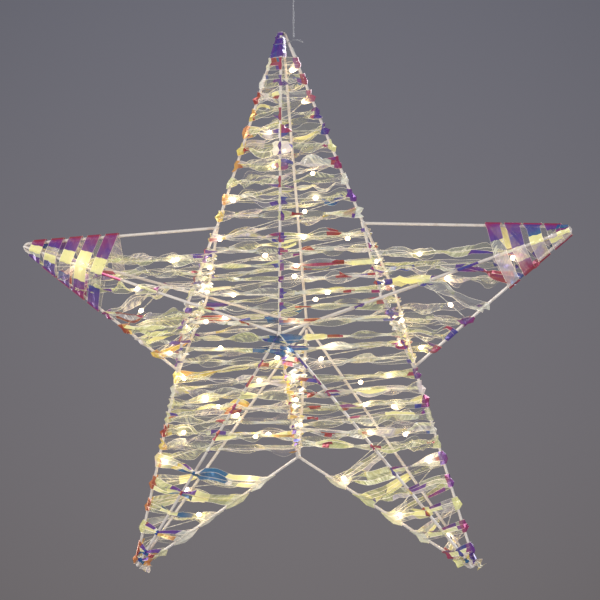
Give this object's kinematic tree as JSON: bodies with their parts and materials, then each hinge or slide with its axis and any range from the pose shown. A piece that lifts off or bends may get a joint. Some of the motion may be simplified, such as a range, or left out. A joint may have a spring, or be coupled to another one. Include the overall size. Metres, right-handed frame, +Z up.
{
  "type": "light-up hanging star",
  "caption": "Wire-frame star with raised faces, wound with iridescent film strip and a warm drop-lamp string, hanging from a thin clear line.",
  "frame": {"origin": "underside of the hanging loop's crown, where it bears on its hook", "axes": "+Z up along the hanging line; -Y is the face shown in the picture; +X to that view's right"},
  "size_m": [0.5803, 0.1202, 0.6488],
  "materials": {
    "white_lacquer": "satin white lacquer",
    "iridescent_film": "clear iridescent film, glossy",
    "pale_wire": "pale insulated wire with resin drop lamps",
    "clear_cord": "clear twisted cord",
    "clear_sleeve": "clear crimp or shrink sleeve"
  },
  "bodies": {
    "line": {"hanging_line": "clear_cord", "hanging_loop": "clear_cord", "line_sleeve": "clear_sleeve"},
    "knot": {"line_knot": "clear_cord", "line_tail": "clear_cord"},
    "tie": {"tie_loop": "clear_cord"},
    "star": {"tip_wire_top": "white_lacquer", "tip_wire_left": "white_lacquer", "tip_wire_lower_left": "white_lacquer", "tip_wire_lower_right": "white_lacquer", "tip_wire_right": "white_lacquer", "ridge_front_top": "white_lacquer", "ridge_rear_top": "white_lacquer", "ridge_front_left": "white_lacquer", "ridge_rear_left": "white_lacquer", "ridge_front_lower_left": "white_lacquer", "ridge_rear_lower_left": "white_lacquer", "ridge_front_lower_right": "white_lacquer", "ridge_rear_lower_right": "white_lacquer", "ridge_front_right": "white_lacquer", "ridge_rear_right": "white_lacquer", "crotch_rib_front": "white_lacquer", "crotch_rib_rear": "white_lacquer", "weld_bead_front": "white_lacquer", "weld_bead_rear": "white_lacquer", "base_wire_front_left": "white_lacquer", "base_wire_front_right": "white_lacquer", "base_wire_rear_left": "white_lacquer", "base_wire_rear_right": "white_lacquer", "film_top": "iridescent_film", "film_lower_left": "iridescent_film", "film_lower_right": "iridescent_film", "film_left_arm": "iridescent_film", "film_right_arm": "iridescent_film", "film_left_tip": "iridescent_film", "film_right_tip": "iridescent_film", "light_string_top": "pale_wire", "light_string_lower_left": "pale_wire", "light_string_lower_right": "pale_wire", "light_string_left_arm": "pale_wire", "light_string_right_arm": "pale_wire", "feed_sleeve": "clear_sleeve"}
  },
  "joints": [
    {"name": "star_turn", "type": "hinge", "parent": "line", "child": "knot", "pos_m": [0, 0, -0.096], "axis": [0, 0, 1], "continuous": true},
    {"name": "star_sway", "type": "hinge", "parent": "knot", "child": "tie", "pos_m": [0, 0, -0.096], "axis": [0, 1, 0], "range_deg": [-25, 25]},
    {"name": "star_tip", "type": "hinge", "parent": "tie", "child": "star", "pos_m": [-0.00534, 0, -0.09828], "axis": [1, 0, 0], "range_deg": [-25, 25]}
  ]
}
